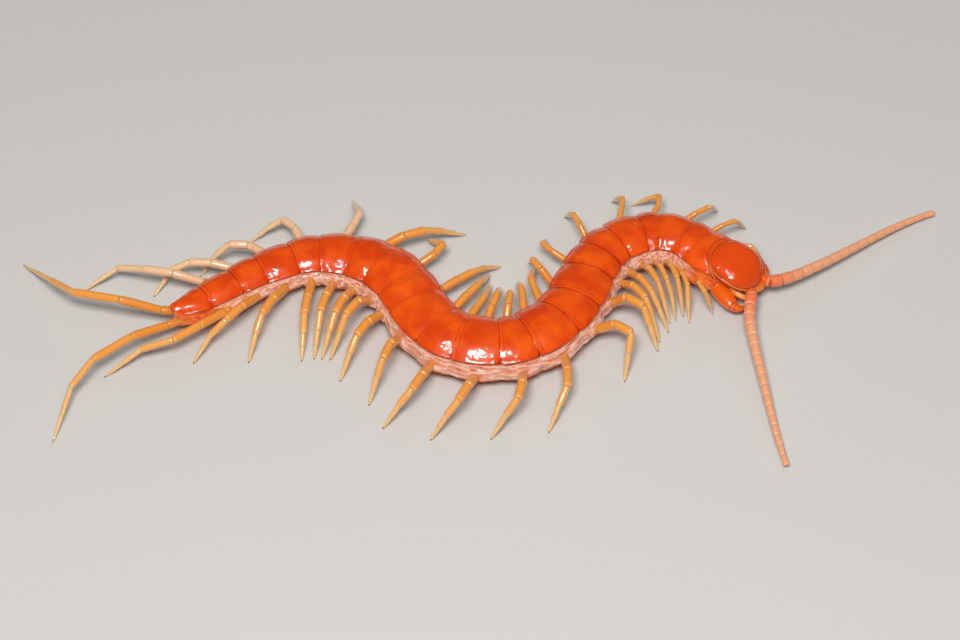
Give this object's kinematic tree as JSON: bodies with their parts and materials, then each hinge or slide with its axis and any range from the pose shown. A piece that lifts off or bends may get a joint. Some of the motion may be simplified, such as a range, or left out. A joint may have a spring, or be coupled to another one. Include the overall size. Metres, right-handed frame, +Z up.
{
  "type": "centipede",
  "caption": "Life-size still model of a red forest centipede walking in an S-curve, with plated back, curved fangs, long feelers and slender jointed legs.",
  "frame": {"origin": "middle of the overall box on the floor plane that the feet stand on", "axes": "+Z up from the floor; +X along the longest extent, towards the head and the tips of the feelers; +Y towards the animal's left side at the neck"},
  "size_m": [0.0774, 0.029, 0.0042],
  "materials": {
    "glossy_red_plate": "wet-looking gloss orange-red cuticle",
    "deep_red_fang": "gloss deep red cuticle with dark tips",
    "amber_leg": "gloss amber, slightly clear",
    "peach_antenna": "satin peach with fine down"
  },
  "bodies": {
    "root": {"head": "glossy_red_plate", "forcipular_plate": "glossy_red_plate", "forcipule_left": "deep_red_fang", "forcipule_right": "deep_red_fang", "antenna_left": "peach_antenna", "antenna_right": "peach_antenna", "trunk_1": "glossy_red_plate", "trunk_2": "glossy_red_plate", "trunk_3": "glossy_red_plate", "trunk_4": "glossy_red_plate", "trunk_5": "glossy_red_plate", "trunk_6": "glossy_red_plate", "trunk_7": "glossy_red_plate", "trunk_8": "glossy_red_plate", "leg_left_01": "amber_leg", "leg_right_01": "amber_leg", "leg_left_02": "amber_leg", "leg_right_02": "amber_leg", "leg_left_03": "amber_leg", "leg_right_03": "amber_leg", "leg_left_04": "amber_leg", "leg_right_04": "amber_leg", "leg_left_05": "amber_leg", "leg_right_05": "amber_leg", "leg_left_06": "amber_leg", "leg_right_06": "amber_leg", "leg_left_07": "amber_leg", "leg_right_07": "amber_leg", "leg_left_08": "amber_leg", "leg_right_08": "amber_leg", "leg_left_09": "amber_leg", "leg_right_09": "amber_leg", "leg_left_10": "amber_leg", "leg_right_10": "amber_leg", "leg_left_11": "amber_leg", "leg_right_11": "amber_leg", "leg_left_12": "amber_leg", "leg_right_12": "amber_leg", "leg_left_13": "amber_leg", "leg_right_13": "amber_leg", "leg_left_14": "amber_leg", "leg_right_14": "amber_leg", "leg_left_15": "amber_leg", "leg_right_15": "amber_leg", "leg_left_16": "amber_leg", "leg_right_16": "amber_leg", "leg_left_17": "amber_leg", "leg_right_17": "amber_leg", "leg_left_18": "amber_leg", "leg_right_18": "amber_leg", "leg_left_19": "amber_leg", "leg_right_19": "amber_leg", "leg_left_20": "amber_leg", "leg_right_20": "amber_leg", "leg_left_21": "amber_leg", "leg_right_21": "amber_leg", "leg_left_22": "amber_leg", "leg_right_22": "amber_leg", "leg_left_23": "amber_leg", "leg_right_23": "amber_leg"}
  },
  "joints": []
}
